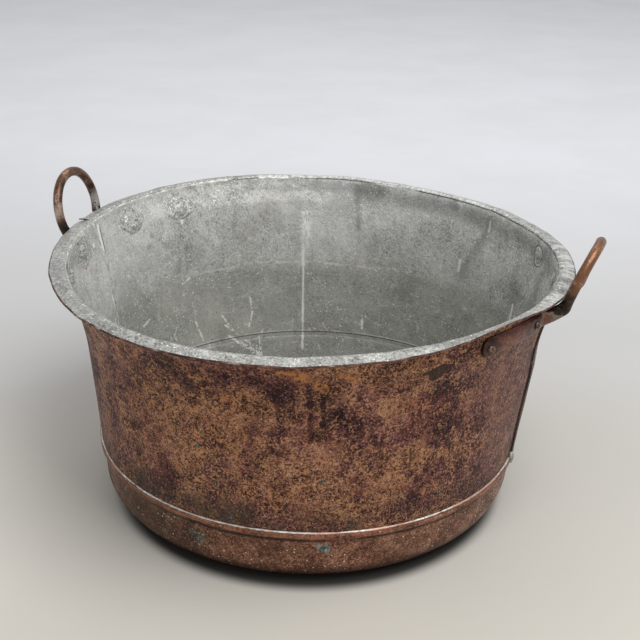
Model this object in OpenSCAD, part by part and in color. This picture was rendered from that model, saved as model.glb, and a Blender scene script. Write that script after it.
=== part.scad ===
// Laundry copper boiler: a wide, shallow, flared wash kettle raised from
// two wall sheets and a bottom pan, with two riveted loop handles.
// Millimetres, +Z up. Origin: centre of the bottom face, on the floor.
// +X runs through the middle of one handle, which is also one side seam.

/* [Vessel wall] */
// Outer diameter over the lip
rim_d = 700; // [640:1:760]
// How far the lip stands out past the neck
lip_w = 22; // [18:0.5:26]
// How far the neck stands out past the waist
flare_w = 21.5; // [14:0.5:26]
// How far the waist stands out past the pan's seam
taper_w = 10.5; // [6:0.5:16]
// Height of the waist above the floor
waist_z = 230; // [200:1:250]
// Height of the neck, where the lip starts to turn out
neck_z = 325; // [320:1:327]
// Height of the top of the lip's outer edge
rim_z = 333; // [331:0.5:340]
// Height over which the neck turns out into the lip
lip_turn = 12; // [9:0.5:13]
// Share of the lip's width that is its straight skirt
lip_skirt = 0.85; // [0.7:0.01:0.9]
// Droop of the lip's skirt, degrees
lip_droop = 15; // [8:0.5:18]
// Steepness of the flare at the neck, mm out per mm up
neck_slope = 0.3; // [0.2:0.01:0.4]
// Thickness of the wall sheets
sheet_t = 2.5; // [1.5:0.1:3]

/* [Bottom pan] */
// Height of the seam line between wall and pan
seam_z = 82; // [70:1:100]
// How far the pan's side lies inside the wall's outer face at the seam
pan_inset = 2; // [1:0.5:6]
// How far the pan's side draws in from its band down to the corner
pan_draw = 2.5; // [0.5:0.5:12]
// Outside radius of the bottom corner
corner_r = 40; // [25:1:55]
// Thickness of the pan
pan_t = 2.5; // [1.5:0.1:3]
// Height of the pan's band that grips the wall
band_h = 8; // [5:0.5:12]

/* [Seams] */
// Width of the side laps of the two wall sheets
lap_w = 26; // [16:1:36]
// Width over which a sheet steps out to lie over the other
joggle_w = 8; // [5:0.5:12]
// Open line between the two sheet ends inside
butt_gap = 0.4; // [0.2:0.1:1]
// Size of the solder fillet on the pan's band
fillet_w = 2.2; // [1.5:0.1:3.5]
// Width of the solder run down each inner seam line
run_w = 4; // [2:0.5:8]
// Height of that run above the sheet
run_h = 0.9; // [0.4:0.1:1.5]
// Radius of the solder lump at the foot of each side seam
lump_r = 7.5; // [6.5:0.1:9]
// Clearance between faces that are soldered or seated together
seat = 0.1; // [0.05:0.01:0.2]

/* [Handles] */
// Diameter of the handle bar
bar_d = 13; // [10:0.5:16]
// Radius of the loop, to the middle of the bar
loop_r = 52; // [48:0.5:60]
// Height of the loop's centre above the handle's knuckles
loop_rise = 25; // [15:0.5:30]
// Outward lean of the handle at +X, degrees
lean_right = 19.5; // [5:1:30]
// Outward lean of the handle at -X, degrees
lean_left = 12; // [5:1:30]
// Diameter of the forged knuckle where the bar turns into the foot
knuckle_d = 15; // [14:0.5:18]
// Gap between the lip's edge and the upright bar
bar_gap = 1.5; // [1.5:0.5:6]
// Height of the flat foot
foot_h = 27; // [24:1:32]
// Thickness of the flat foot
foot_t = 4; // [3:0.5:6]
// Gap between the neck and the top of the foot
foot_drop = 2; // [1:0.5:4]

/* [Rivets] */
// Angle from the handle's middle to the inner rivet, degrees
rivet_a1 = 13; // [12.5:0.5:16]
// Angle from the handle's middle to the outer rivet, degrees
rivet_a2 = 30; // [26:0.5:34]
// Metal before the inner rivet's centre on the foot, degrees
foot_lead = 2.6; // [2:0.1:3]
// Diameter of the rivet shank
rivet_d = 8; // [6:0.5:10]
// Diameter of the rivet's outer head
head_d = 12; // [11:0.5:16]
// Height of the outer head
head_h = 3.5; // [3:0.5:6]
// Diameter of the hammered inner head
point_d = 13; // [12:0.5:16]
// Height of the inner head
point_h = 2.5; // [1.5:0.5:4]
// Diameter of the rove, the washer under the inner head
rove_d = 24; // [20:0.5:28]
// Thickness of the rove
rove_t = 1.8; // [1:0.1:3]
// Clearance of the shank in its holes
rivet_fit = 0.2; // [0.1:0.05:0.4]

/* [Hidden] */
$fn = 96;
big_fn = 180;

copper = "#8a4f33";
dark_copper = "#5c3a2c";
tin = "#b4b5ae";

rim_r = rim_d / 2;
neck_r = rim_r - lip_w;
waist_r = neck_r - flare_w;
seam_r = waist_r - taper_w;
wall_slope = (waist_r - seam_r) / (waist_z - seam_z);
foot_z = seam_z - band_h;

// ---- curves -------------------------------------------------------
function bez(a, b, c, d, t) = pow(1 - t, 3) * a + 3 * t * pow(1 - t, 2) * b
    + 3 * t * t * (1 - t) * c + pow(t, 3) * d;
function bezier(a, b, c, d, n) = [for (i = [1:n]) bez(a, b, c, d, i / n)];
function way(p, i) = let (d = p[min(i + 1, len(p) - 1)] - p[max(i - 1, 0)]) d / norm(d);
// a line moved k along its normal, to the right of its direction
function beside(p, k) = [for (i = [0:len(p) - 1]) let (t = way(p, i)) p[i] + k * [t[1], -t[0]]];
function back(p) = [for (i = [len(p) - 1:-1:0]) p[i]];
function skin(p, k1, k2) = concat(beside(p, k1), back(beside(p, k2)));

// outer line of the wall [radius, height], from a start height up to the lip
function cone_r(z) = seam_r + wall_slope * (z - seam_z);
flare_h = neck_z - waist_z;
flare = bezier([waist_r, waist_z], [waist_r + wall_slope * flare_h * 0.4, waist_z + flare_h * 0.4],
    [neck_r - neck_slope * flare_h * 0.35, neck_z - flare_h * 0.35], [neck_r, neck_z], 12);
skirt_w = lip_w * lip_skirt;
lip = bezier([neck_r, neck_z], [neck_r + neck_slope * lip_turn, neck_z + lip_turn],
    [rim_r - skirt_w, rim_z - sheet_t + skirt_w * tan(lip_droop)],
    [rim_r, rim_z - sheet_t], 16);
function wall_line(z0) = concat([[cone_r(z0), z0], [waist_r, waist_z]], flare, lip);
z_to_r = [for (p = concat([[cone_r(0), 0], [waist_r, waist_z]], flare)) [p[1], p[0]]];
function wall_r(z) = lookup(z, z_to_r);

// outer line of the pan, from under its band down to the middle
pan_r = seam_r - pan_inset;
bend_r = pan_r - pan_draw - corner_r;
pan_line = concat([[pan_r, foot_z - 0.6 * pan_t]],
    [for (a = [0:-9:-90]) [bend_r + corner_r * cos(a), corner_r + corner_r * sin(a)]], [[0, 0]]);
band_r = cone_r(seam_z) + seat + pan_t;

// ---- side laps ----------------------------------------------------
half_lap = lap_w / 2 / seam_r * 180 / PI;
gap_a = butt_gap / seam_r * 180 / PI;
joggle_a = joggle_w / seam_r * 180 / PI;
tab_z = seam_z + fillet_w + 2 * seat;

module sweep(a0, a1) {
    rotate([0, 0, a0]) rotate_extrude(angle = a1 - a0, $fn = big_fn) children();
}

// one wall sheet: plain at one end, stepped out over the other sheet at its start
module wall_sheet() {
    sweep(half_lap + gap_a, 180 + half_lap) polygon(skin(wall_line(foot_z + seat), 0, -sheet_t));
    sweep(-half_lap, half_lap + joggle_a)
        polygon(skin(wall_line(tab_z), seat + sheet_t, seat));
    sweep(half_lap + gap_a, half_lap + joggle_a)
        polygon(skin(wall_line(tab_z), seat + sheet_t, -sheet_t / 2));
}

// ---- handle feet and rivets ---------------------------------------
foot_top = neck_z - foot_drop;
foot_low = foot_top - foot_h;
foot_mid = (foot_top + foot_low) / 2;
foot_line = concat([[wall_r(foot_low), foot_low]],
    [for (p = flare) if (p[1] > foot_low + 1 && p[1] < foot_top - 1) p],
    [[wall_r(foot_top), foot_top]]);
foot_tilt = atan((wall_r(foot_mid + 3) - wall_r(foot_mid - 3)) / 6);
foot_a0 = rivet_a1 - foot_lead;
// how far the flared wall rises above its own tangent plane within d / 2 of a rivet,
// on the outer face (side = 1) or on the inner face (side = -1)
function rise(d, side) = max([for (k = [-1:0.25:1])
    let (z = foot_mid + k * d / 2 * cos(foot_tilt))
    side * ((wall_r(z) - wall_r(foot_mid)) * cos(foot_tilt) - (z - foot_mid) * sin(foot_tilt))]);
// how far a flat rove and a flat head must stand off the wall and the foot
rove_sag = pow(rove_d / 2, 2) / (2 * (wall_r(foot_mid) - sheet_t)) + rise(rove_d, -1) + seat;
head_stand = foot_t + 2 * seat + rise(head_d, 1);

// local frame of a rivet: z = 0 on the wall's outer face, +z outwards
module at_rivet(a) {
    rotate([0, 0, a]) translate([wall_r(foot_mid), 0, foot_mid])
        rotate([0, 90 + foot_tilt, 0]) children();
}
module rivet_hole(a) {
    at_rivet(a) translate([0, 0, -3 * sheet_t])
        cylinder(d = rivet_d + 2 * rivet_fit, h = 3 * sheet_t + 3 * foot_t);
}
function dome(r, h, n = 6) = [for (i = [0:n]) let (a = 90 * i / n) [r * cos(a), h * sin(a)]];
module rivet(a) {
    top = head_stand;
    low = -sheet_t - rove_sag - rove_t - seat;
    color(dark_copper) at_rivet(a) rotate_extrude()
        polygon(concat([[0, low - point_h]],
            [for (p = back(dome(point_d / 2, point_h))) if (p[0] > 0.01) [p[0], low - p[1]]],
            [[rivet_d / 2, low], [rivet_d / 2, top]],
            [for (p = dome(head_d / 2, head_h)) [p[0] < 0.01 ? 0 : p[0], top + p[1]]]));
}
module rove(a) {
    z0 = -sheet_t - rove_sag;
    color(tin) at_rivet(a) rotate_extrude()
        polygon([[rivet_d / 2 + rivet_fit, z0], [rove_d / 2, z0],
            [rove_d / 2, z0 - 0.4 * rove_t], [rove_d / 2 - 1.5, z0 - 0.8 * rove_t],
            [point_d / 2 + 1, z0 - rove_t], [rivet_d / 2 + rivet_fit, z0 - rove_t]]);
}

// ---- handle -------------------------------------------------------
knuckle_y = sqrt(loop_r * loop_r - loop_rise * loop_rise);
knuckle_z = foot_top;
loop_a = asin(loop_rise / loop_r);
// where the bar's middle stands at the knuckles, so that it clears the lip's edge by bar_gap
edge_x = sqrt(rim_r * rim_r - knuckle_y * knuckle_y);
edge_z = rim_z - sheet_t / 2;
function stand_r(lean) = edge_x + bar_gap + bar_d / 2 / cos(lean) - (edge_z - knuckle_z) * tan(lean);

// flat foot: from its lead edge round the wall to a round end past the outer rivet
module foot(stand) {
    difference() {
        sweep(foot_a0, rivet_a2 + asin(foot_h / 2 / wall_r(foot_mid)))
            polygon(skin(foot_line, seat + foot_t, seat));
        difference() {
            at_rivet(rivet_a2) translate([-foot_h, 0, -foot_t]) cube([2 * foot_h, foot_h, 4 * foot_t]);
            at_rivet(rivet_a2) translate([0, 0, -2 * foot_t]) cylinder(d = foot_h, h = 6 * foot_t);
        }
        rivet_hole(rivet_a1);
        rivet_hole(rivet_a2);
    }
    // forged neck that narrows the flat foot into the round bar
    hull() {
        rotate([0, 0, foot_a0]) translate([wall_r(foot_mid) + seat + foot_t / 2, 0.3, foot_mid])
            rotate([0, foot_tilt, 0]) cube([foot_t - 1, 0.6, foot_h - 1], center = true);
        translate([stand - bar_d * 0.35, knuckle_y + bar_d * 0.35, knuckle_z - bar_d * 0.3])
            sphere(d = bar_d * 0.9, $fn = 32);
    }
    hull() {
        translate([stand - bar_d * 0.35, knuckle_y + bar_d * 0.35, knuckle_z - bar_d * 0.3])
            sphere(d = bar_d * 0.9, $fn = 32);
        translate([stand, knuckle_y, knuckle_z]) sphere(d = bar_d * 0.9, $fn = 32);
    }
}
module handle(lean) {
    stand = stand_r(lean);
    color(copper) {
        translate([stand, 0, knuckle_z]) rotate([0, lean, 0]) {
            translate([0, 0, loop_rise]) rotate([0, 90, 0]) rotate([0, 0, 90 - loop_a])
                rotate_extrude(angle = 180 + 2 * loop_a) translate([loop_r, 0]) circle(d = bar_d);
        }
        for (s = [-1, 1]) translate([stand, s * knuckle_y, knuckle_z]) sphere(d = knuckle_d);
        foot(stand);
        mirror([0, 1, 0]) foot(stand);
    }
}

// ---- pieces -------------------------------------------------------
module front_wall() {
    color(copper) difference() {
        rotate([0, 0, 180]) wall_sheet();
        for (a = [-rivet_a1, -rivet_a2, 180 + rivet_a1, 180 + rivet_a2]) rivet_hole(a);
    }
}
module back_wall() {
    color(copper) difference() {
        wall_sheet();
        for (a = [rivet_a1, rivet_a2, 180 - rivet_a1, 180 - rivet_a2]) rivet_hole(a);
    }
}
module bottom_pan() {
    socket_r = cone_r(foot_z) + seat;
    color(copper) rotate_extrude($fn = big_fn) polygon(concat(
        [[cone_r(seam_z) + seat, seam_z], [band_r, seam_z], [band_r, foot_z]],
        pan_line,
        back(beside(pan_line, pan_t)),
        [[pan_r - pan_t, foot_z], [socket_r, foot_z]]));
}
module seam_solder_ring() {
    z0 = seam_z + seat;
    color(tin) rotate_extrude($fn = big_fn) polygon([
        [cone_r(z0) + seat, z0], [band_r, z0], [band_r - 0.15 * fillet_w, z0 + 0.55 * fillet_w],
        [cone_r(z0 + fillet_w) + seat + 0.3, z0 + fillet_w],
        [cone_r(z0 + fillet_w) + seat, z0 + fillet_w]]);
}
// solder run along the open line inside, from the pan up to the neck
module side_solder(a) {
    line = concat([[cone_r(seam_z), seam_z], [waist_r, waist_z]], flare);
    w = run_w / 2 / seam_r * 180 / PI;
    color(tin) sweep(a + half_lap - w, a + half_lap + w)
        polygon(skin(line, -sheet_t - seat, -sheet_t - seat - run_h));
}
// lump of solder that closes the corner where a side seam meets the pan
module corner_solder(a) {
    keep = concat([[0, seam_z - 30], [band_r + seat, seam_z - 30], [band_r + seat, tab_z - seat]],
        [for (z = [tab_z - seat, seam_z + 30]) [cone_r(z) + sheet_t + 2 * seat, z]],
        [[0, seam_z + 30]]);
    color(tin) difference() {
        rotate([0, 0, a - half_lap + 0.4]) translate([band_r - 2.5, 0, seam_z + 1]) sphere(r = lump_r);
        rotate_extrude($fn = big_fn) polygon(keep);
    }
}

front_wall();
back_wall();
bottom_pan();
seam_solder_ring();
side_solder(0);  // side_solder_right
side_solder(180);  // side_solder_left
corner_solder(0);  // corner_solder_right
corner_solder(180);  // corner_solder_left
handle(lean_right);  // handle_right
rotate([0, 0, 180]) handle(lean_left);  // handle_left
rivet(-rivet_a2);  // rivet_right_1
rivet(-rivet_a1);  // rivet_right_2
rivet(rivet_a1);  // rivet_right_3
rivet(rivet_a2);  // rivet_right_4
rivet(180 - rivet_a2);  // rivet_left_1
rivet(180 - rivet_a1);  // rivet_left_2
rivet(180 + rivet_a1);  // rivet_left_3
rivet(180 + rivet_a2);  // rivet_left_4
rove(-rivet_a2);  // rove_right_1
rove(-rivet_a1);  // rove_right_2
rove(rivet_a1);  // rove_right_3
rove(rivet_a2);  // rove_right_4
rove(180 - rivet_a2);  // rove_left_1
rove(180 - rivet_a1);  // rove_left_2
rove(180 + rivet_a1);  // rove_left_3
rove(180 + rivet_a2);  // rove_left_4
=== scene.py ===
import math

import bpy
import numpy as np
from mathutils import Matrix, Vector, noise


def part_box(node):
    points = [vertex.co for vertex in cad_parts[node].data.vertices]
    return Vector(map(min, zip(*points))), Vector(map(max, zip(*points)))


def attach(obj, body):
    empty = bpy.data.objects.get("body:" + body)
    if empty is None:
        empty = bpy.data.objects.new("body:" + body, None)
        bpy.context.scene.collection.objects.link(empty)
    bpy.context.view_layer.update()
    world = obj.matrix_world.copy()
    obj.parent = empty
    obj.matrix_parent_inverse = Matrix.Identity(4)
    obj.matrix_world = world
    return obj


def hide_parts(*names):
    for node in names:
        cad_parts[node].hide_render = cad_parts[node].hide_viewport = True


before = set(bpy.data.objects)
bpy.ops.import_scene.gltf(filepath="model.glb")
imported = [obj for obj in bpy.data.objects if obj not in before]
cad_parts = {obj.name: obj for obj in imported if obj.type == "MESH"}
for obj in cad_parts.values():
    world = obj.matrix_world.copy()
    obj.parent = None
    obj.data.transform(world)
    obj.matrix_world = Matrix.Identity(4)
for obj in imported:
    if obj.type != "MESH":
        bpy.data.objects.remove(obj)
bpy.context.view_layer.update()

# ---- sizes in metres, read from the frame where it shows them ----
wall_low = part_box("front_wall")[0]
pan_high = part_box("bottom_pan")[1]
ring_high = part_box("seam_solder_ring")[1]
SHEET = 0.0025
SEAT = 0.0001
RIM_R = round(-wall_low.y, 3)
RIM_Z = 0.333
LIP_W = 0.022
LIP_TURN = 0.012
LIP_SKIRT = 0.85
LIP_DROOP = math.radians(15)
NECK_R = RIM_R - LIP_W
NECK_Z = 0.325
NECK_SLOPE = 0.3
WAIST_R = 0.3065
WAIST_Z = 0.230
SEAM_R = 0.296
SEAM_Z = round(pan_high.z, 4)
SLOPE = (WAIST_R - SEAM_R) / (WAIST_Z - SEAM_Z)
FILLET = round(ring_high.z - SEAM_Z, 4)
BAND_H = 0.008
FOOT_Z = SEAM_Z - BAND_H
PAN_R = 0.294
PAN_FOOT_R = 0.2915
CORNER_R = 0.040
# the laps at the side seams, as angles in degrees
LAP = math.degrees(0.013 / SEAM_R)
BUTT = math.degrees(0.0004 / SEAM_R)
JOGGLE = math.degrees(0.008 / SEAM_R)
# handles, rivets and roves
FOOT_TOP = NECK_Z - 0.002
FOOT_H = 0.027
FOOT_T = 0.0040
FOOT_MID = FOOT_TOP - FOOT_H / 2
RIVET_A1 = 13.0
RIVET_A2 = 30.0
FOOT_A0 = RIVET_A1 - 2.6
BAR_R = 0.0065
BAR_GAP = 0.0015
LOOP_R = 0.052
LOOP_RISE = 0.025
KNUCKLE_Y = math.sqrt(LOOP_R ** 2 - LOOP_RISE ** 2)
LEANS = {"right": 19.5, "left": 12.0}
HEAD_R = 0.006
HEAD_H = 0.0035
TAIL_R = 0.0065
TAIL_H = 0.0025
SHANK_R = 0.004
ROVE_R = 0.012
ROVE_T = 0.0018
# rows of the wall's line, from its foot to the lip's edge
CONE_ROWS = 17
FLARE_ROWS = 26
TURN_ROWS = 7
# the photograph's angle and lens
PHOTO_TURN = math.radians(19.7)
PHOTO_PITCH = 0.41595
PHOTO_ROLL = -0.01743
PHOTO_EYE = (0.0135, -1.3960, 0.8476)
PHOTO_FOCAL = 1100
PHOTO_WIDTH = 640
FLOOR_REACH = 14.0
MM = 1000
OUTSIDE = False
INSIDE = True


# ---- curves ----
def cone_r(z):
    return SEAM_R + SLOPE * (z - SEAM_Z)


def bezier(points, steps):
    a, b, c, d = [np.array(p, float) for p in points]
    t = np.array(steps, float)[:, None]
    return (1 - t) ** 3 * a + 3 * t * (1 - t) ** 2 * b + 3 * t * t * (1 - t) * c + t ** 3 * d


def flare_line():
    rise = NECK_Z - WAIST_Z
    return bezier([(WAIST_R, WAIST_Z),
                   (WAIST_R + SLOPE * rise * 0.4, WAIST_Z + rise * 0.4),
                   (NECK_R - NECK_SLOPE * rise * 0.35, NECK_Z - rise * 0.35),
                   (NECK_R, NECK_Z)], np.linspace(0, 1, FLARE_ROWS + 1)[1:])


def lip_line():
    skirt = LIP_W * LIP_SKIRT
    steps = list(np.linspace(0, 0.95, 24)[1:]) + [0.965, 0.98, 0.99, 0.996, 1.0]
    return bezier([(NECK_R, NECK_Z),
                   (NECK_R + NECK_SLOPE * LIP_TURN, NECK_Z + LIP_TURN),
                   (RIM_R - skirt, RIM_Z - SHEET + skirt * math.tan(LIP_DROOP)),
                   (RIM_R, RIM_Z - SHEET)], steps)


def wall_line(z0, cone_rows=CONE_ROWS):
    z = np.linspace(z0, WAIST_Z, cone_rows)
    return np.concatenate([np.stack([cone_r(z), z], 1), flare_line(), lip_line()])


FLARE = np.concatenate([[[cone_r(0), 0], [WAIST_R, WAIST_Z]], flare_line()])


def wall_r(z):
    return np.interp(z, FLARE[:, 1], FLARE[:, 0])


FOOT_TILT = math.atan((wall_r(FOOT_MID + 0.003) - wall_r(FOOT_MID - 0.003)) / 0.006)
TILT_COS = math.cos(FOOT_TILT)
TILT_SIN = math.sin(FOOT_TILT)


def rise(reach, side):
    """how far the flared wall rises above its own tangent plane within reach of a rivet"""
    steps = np.linspace(-reach, reach, 17)
    r = wall_r(FOOT_MID + steps * TILT_COS)
    off = side * ((r - wall_r(FOOT_MID)) * TILT_COS - steps * TILT_COS * TILT_SIN)
    return max(0.0, float(off.max()))


ROVE_STAND = SHEET + ROVE_R ** 2 / 2 / (wall_r(FOOT_MID) - SHEET) + rise(ROVE_R, -1) + SEAT
HEAD_STAND = FOOT_T + 2 * SEAT + rise(HEAD_R, 1)


def stand_r(lean):
    """where a leaning loop's bar passes the height of its bends, so that it just clears the lip's edge"""
    edge_x = math.sqrt(RIM_R ** 2 - KNUCKLE_Y ** 2)
    a = math.radians(lean)
    return edge_x + BAR_GAP + BAR_R / math.cos(a) - (RIM_Z - SHEET / 2 - FOOT_TOP) * math.tan(a)


def normals(line):
    way = np.gradient(line, axis=0)
    way /= np.linalg.norm(way, axis=1, keepdims=True)
    return np.stack([way[:, 1], -way[:, 0]], 1)


def smooth(x):
    x = np.clip(x, 0, 1)
    return x * x * (3 - 2 * x)


def noise_at(points, scale, seed=0.0):
    shift = Vector((seed, seed * 1.7, -seed))
    sx, sy, sz = scale
    return np.array([noise.noise(Vector((p[0] * sx, p[1] * sy, p[2] * sz)) + shift) for p in points])


def cyl(th, r, z):
    return (r * math.cos(th), r * math.sin(th), z)


# ---- the hand-made shape: everything on the vessel goes through this ----
def rim_wave(phi):
    first = -0.0132 * np.cos(phi) + 0.0077 * np.sin(phi)
    second = -0.0099 * np.cos(2 * phi) - 0.0070 * np.sin(2 * phi)
    return first + second + 0.0197 * np.cos(3 * phi)


def warp(points):
    """bends the lip out of round, leans the wall, adds small dents and presses the lip beside a handle"""
    p = np.array(points, float)
    r = np.hypot(p[:, 0], p[:, 1])
    th = np.arctan2(p[:, 1], p[:, 0])
    phi = th - PHOTO_TURN
    z = p[:, 2]
    up = smooth((z - SEAM_Z) / 0.20)
    top = smooth((z - 0.300) / 0.030)
    ring = np.stack([np.cos(th), np.sin(th), z], 1)
    slow = noise_at(ring, (2.4, 2.4, 7.0), 3.1)
    quick = noise_at(ring, (8.0, 8.0, 22.0), 8.4)
    lean = 0.003 * np.cos(phi) * smooth(z / 0.06) * (1 - smooth((z - 0.20) / 0.11))
    facing = np.clip(np.cos(phi), 0, 1) ** 4
    taper = 0.06 * (np.clip(z, 0.080, 0.300) - 0.220) * facing * (1 - top)
    out = RIM_R * top * rim_wave(phi) + lean + taper
    out += (0.0014 * slow + 0.0009 * quick) * up * (1 - 0.5 * top) + 0.0004 * quick
    lift = RIM_R * (-0.0021 * np.cos(phi) + 0.0045 * np.sin(phi)) * 0.8
    waves = 0.0012 * noise_at(ring, (4.5, 4.5, 0.0), 5.5) + 0.0009 * noise_at(ring, (15, 15, 0.0), 1.5)
    across = np.clip((r - 0.336) / (RIM_R - 0.336), 0, 1.2)
    pressed = np.exp(-((np.degrees(th) + 27) / 16) ** 2) * across * top
    r2 = r + out * np.clip(r / 0.2, 0, 1) - 0.0030 * pressed
    z2 = z + (lift + waves) * top + 0.0100 * pressed
    return np.stack([r2 * np.cos(th), r2 * np.sin(th), z2], 1)


def photo_side(right, away, up):
    """a place given as seen from the photograph: to the right, away from the viewer, up"""
    c, s = math.cos(PHOTO_TURN), math.sin(PHOTO_TURN)
    return (right * c - away * s, right * s + away * c, up)


def place(angle, z, inside=OUTSIDE):
    """a point of the wall or the pan's side by its angle in degrees and its height"""
    r = wall_r(z) if z > FOOT_Z else PAN_FOOT_R
    return tuple(warp([cyl(math.radians(angle), r - SHEET * inside, z)])[0])


# ---- mesh helpers ----
def make_object(name, verts, faces, materials, face_material=None, sharp=38.0, bent=True):
    mesh = bpy.data.meshes.new(name)
    if bent:
        verts = warp(verts)
    mesh.from_pydata([tuple(v) for v in verts], [], [tuple(f) for f in faces])
    for material in materials:
        mesh.materials.append(material)
    if face_material is not None:
        mesh.polygons.foreach_set("material_index", np.array(face_material, np.int32))
    mesh.validate()
    mesh.update()
    mesh.shade_smooth()
    mesh.set_sharp_from_angle(angle=math.radians(sharp))
    obj = bpy.data.objects.new(name, mesh)
    bpy.context.scene.collection.objects.link(obj)
    return obj


def grid_faces(rows, cols, start=0, flip=False, wrap=False):
    faces = []
    for i in range(rows if wrap else rows - 1):
        k = (i + 1) % rows
        for j in range(cols - 1):
            a, b = start + i * cols + j, start + k * cols + j
            quad = (a, b, b + 1, a + 1)
            faces.append(quad[::-1] if flip else quad)
    return faces


def tube_faces(rings, spokes, flip=False):
    """quads between closed rings of points that follow each other"""
    faces = []
    for i in range(rings - 1):
        for j in range(spokes):
            k = (j + 1) % spokes
            a, b, c, d = i * spokes + j, i * spokes + k, (i + 1) * spokes + k, (i + 1) * spokes + j
            faces.append((a, d, c, b) if flip else (a, b, c, d))
    return faces


def strip_shell(outer, inner, closed):
    """a sheet between two grids [angle, line, xyz]; kinds: 0 outside, 1 inside, 2 and 3 the cut edges"""
    n, m = outer.shape[:2]
    verts = np.concatenate([outer.reshape(-1, 3), inner.reshape(-1, 3)])
    off = n * m
    faces = grid_faces(n, m, 0, False, closed)
    kinds = [0] * len(faces)
    inside = grid_faces(n, m, off, True, closed)
    faces += inside
    kinds += [1] * len(inside)
    for i in range(n if closed else n - 1):
        k = (i + 1) % n
        low = (i * m, i * m + off, k * m + off, k * m)
        high = (i * m + m - 1, k * m + m - 1, k * m + m - 1 + off, i * m + m - 1 + off)
        faces += [low, high]
        kinds += [2, 3]
    if not closed:
        for j in range(m - 1):
            a, b = j, (n - 1) * m + j
            faces += [(a, a + 1, a + 1 + off, a + off), (b, b + off, b + 1 + off, b + 1)]
            kinds += [2, 2]
    return verts, faces, kinds


def turned(line, angle):
    return np.stack([line[:, 0] * np.cos(angle), line[:, 0] * np.sin(angle), line[:, 1]], 1)


# ---- node helpers for materials ----
def colour(hex_text):
    parts = [int(hex_text[i:i + 2], 16) / 255 for i in (0, 2, 4)]
    lin = [c / 12.92 if c <= 0.04045 else ((c + 0.055) / 1.055) ** 2.4 for c in parts]
    return (*lin, 1.0)


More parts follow.
